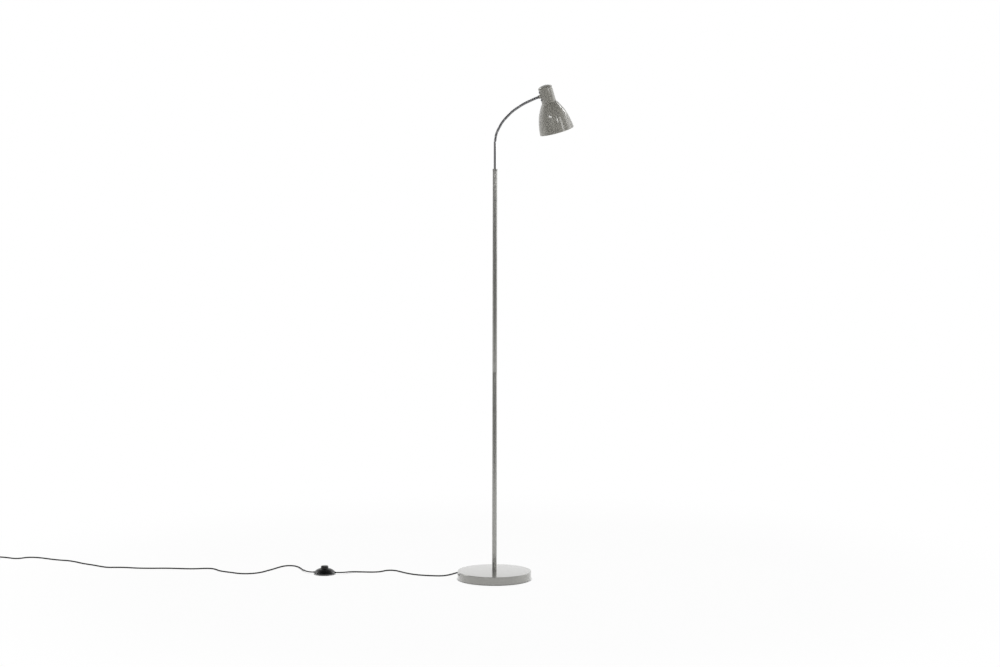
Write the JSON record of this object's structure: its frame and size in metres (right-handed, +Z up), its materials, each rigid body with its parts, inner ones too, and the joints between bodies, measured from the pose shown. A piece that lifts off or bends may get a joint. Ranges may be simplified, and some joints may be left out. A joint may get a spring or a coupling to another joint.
{
  "type": "reading floor lamp",
  "caption": "Slim floor lamp: round weighted base, straight pole, wound flexible neck, bell shade on a short cylinder, foot switch on a long lead.",
  "frame": {"origin": "centre of the base's resting face, on the floor under the pole", "axes": "+Z up along the pole; the flexible neck bends towards +X in the XZ plane"},
  "size_m": [1.6351, 1.1361, 1.4727],
  "materials": {
    "painted_grey": "warm grey gloss paint",
    "painted_silver": "smooth light grey metallic paint",
    "chrome": "bright plated",
    "iron": "rough casting",
    "zinc": "zinc plated",
    "felt": "dark foam pad",
    "black_plastic": "black, softly glossy",
    "black_trim": "black, satin",
    "black_rubber": "black, soft",
    "brass": "plated contact",
    "bulb_metal": "bright cap",
    "bulb_opal": "opal diffuser"
  },
  "bodies": {
    "stand": {"base_cover": "painted_silver", "base_weight": "iron", "base_pad": "felt", "pole_stud": "zinc", "stud_washer": "zinc", "stud_nut": "zinc", "pole_foot_ring": "painted_silver", "cord_grommet": "black_trim", "cord_clamp": "black_trim", "clamp_screws": "zinc", "pole_lower": "painted_silver", "pole_upper": "painted_silver", "pole_joiner": "zinc", "pole_cap": "painted_silver", "gooseneck_tube": "chrome", "lead_pole": "black_rubber", "lead_gooseneck": "black_rubber", "switch_bottom": "black_plastic", "switch_top": "black_plastic", "switch_module": "black_trim", "switch_spring": "zinc", "switch_screws": "zinc", "switch_feet": "black_rubber", "switch_reliefs": "black_trim", "cord_to_switch": "black_rubber", "cord_to_plug": "black_rubber", "cord_coil": "black_rubber", "cord_tie": "black_trim", "plug_relief": "black_trim", "plug_body": "black_trim", "plug_pins": "brass"},
    "link_01": {"gooseneck_link_01": "chrome"},
    "link_02": {"gooseneck_link_02": "chrome"},
    "link_03": {"gooseneck_link_03": "chrome"},
    "link_04": {"gooseneck_link_04": "chrome"},
    "link_05": {"gooseneck_link_05": "chrome"},
    "link_06": {"gooseneck_link_06": "chrome"},
    "link_07": {"gooseneck_link_07": "chrome"},
    "link_08": {"gooseneck_link_08": "chrome"},
    "link_09": {"gooseneck_link_09": "chrome"},
    "link_10": {"gooseneck_link_10": "chrome"},
    "link_11": {"gooseneck_link_11": "chrome"},
    "link_12": {"gooseneck_link_12": "chrome"},
    "link_13": {"gooseneck_link_13": "chrome"},
    "link_14": {"gooseneck_link_14": "chrome"},
    "head": {"end_collar": "painted_grey", "collar_nut": "zinc", "neck_shell": "painted_grey", "dome_cap": "painted_grey", "shade": "painted_grey", "neck_screws": "zinc", "head_bracket": "zinc", "lampholder_body": "black_trim", "lampholder_contact": "brass", "shade_ring": "black_trim", "bulb_cap": "bulb_metal", "bulb_collar": "bulb_opal", "bulb_globe": "bulb_opal", "lead_head": "black_rubber"},
    "button": {"switch_button": "black_plastic"}
  },
  "joints": [
    {"name": "bend_01", "type": "hinge", "parent": "stand", "child": "link_01", "pos_m": [0, 0, 1.304], "axis": [0, 1, 0], "range_deg": [-18.52, 4.52], "deforming": ["lead_gooseneck"]},
    {"name": "bend_02", "type": "hinge", "parent": "link_01", "child": "link_02", "pos_m": [0.00177, 0, 1.31839], "axis": [0, 1, 0], "range_deg": [-26.46, 6.46], "deforming": ["lead_gooseneck"]},
    {"name": "bend_03", "type": "hinge", "parent": "link_02", "child": "link_03", "pos_m": [0.00601, 0, 1.33226], "axis": [0, 1, 0], "range_deg": [-34.4, 8.4], "deforming": ["lead_gooseneck"]},
    {"name": "sway_04", "type": "hinge", "parent": "link_03", "child": "link_04", "pos_m": [0.01326, 0, 1.34482], "axis": [0.866, 0, -0.5], "range_deg": [-17, 17], "deforming": ["lead_gooseneck"]},
    {"name": "bend_05", "type": "hinge", "parent": "link_04", "child": "link_05", "pos_m": [0.02051, 0, 1.35737], "axis": [0, 1, 0], "range_deg": [-26.46, 6.46], "deforming": ["lead_gooseneck"]},
    {"name": "bend_06", "type": "hinge", "parent": "link_05", "child": "link_06", "pos_m": [0.02983, 0, 1.36848], "axis": [0, 1, 0], "range_deg": [-17.2, 4.2], "deforming": ["lead_gooseneck"]},
    {"name": "sway_07", "type": "hinge", "parent": "link_06", "child": "link_07", "pos_m": [0.04034, 0, 1.37846], "axis": [0.6884, 0, -0.7254], "range_deg": [-17, 17], "deforming": ["lead_gooseneck"]},
    {"name": "bend_08", "type": "hinge", "parent": "link_07", "child": "link_08", "pos_m": [0.05086, 0, 1.38844], "axis": [0, 1, 0], "range_deg": [-17.2, 4.2], "deforming": ["lead_gooseneck"]},
    {"name": "bend_09", "type": "hinge", "parent": "link_08", "child": "link_09", "pos_m": [0.06244, 0, 1.39717], "axis": [0, 1, 0], "range_deg": [-15.88, 3.88], "deforming": ["lead_gooseneck"]},
    {"name": "sway_10", "type": "hinge", "parent": "link_09", "child": "link_10", "pos_m": [0.07487, 0, 1.40464], "axis": [0.515, 0, -0.8572], "range_deg": [-17, 17], "deforming": ["lead_gooseneck"]},
    {"name": "bend_11", "type": "hinge", "parent": "link_10", "child": "link_11", "pos_m": [0.0873, 0, 1.4121], "axis": [0, 1, 0], "range_deg": [-13.23, 3.23], "deforming": ["lead_gooseneck"]},
    {"name": "bend_12", "type": "hinge", "parent": "link_11", "child": "link_12", "pos_m": [0.10033, 0, 1.41846], "axis": [0, 1, 0], "range_deg": [-8.6, 2.1], "deforming": ["lead_gooseneck"]},
    {"name": "sway_13", "type": "hinge", "parent": "link_12", "child": "link_13", "pos_m": [0.11371, 0, 1.42407], "axis": [0.3867, 0, -0.9222], "range_deg": [-17, 17], "deforming": ["lead_gooseneck"]},
    {"name": "bend_14", "type": "hinge", "parent": "link_13", "child": "link_14", "pos_m": [0.12708, 0, 1.42968], "axis": [0, 1, 0], "range_deg": [-7.94, 1.94], "deforming": ["lead_gooseneck"]},
    {"name": "bend_15", "type": "hinge", "parent": "link_14", "child": "head", "pos_m": [0.14072, 0, 1.43458], "axis": [0, 1, 0], "range_deg": [-6.62, 1.62], "deforming": ["lead_gooseneck"]},
    {"name": "button_press", "type": "slide", "parent": "stand", "child": "button", "axis": [0, 0, -1], "range_m": [0, 0.0035], "stiffness_N_per_m": 450, "springref_m": -0.003, "deforming": ["switch_spring"]}
  ]
}
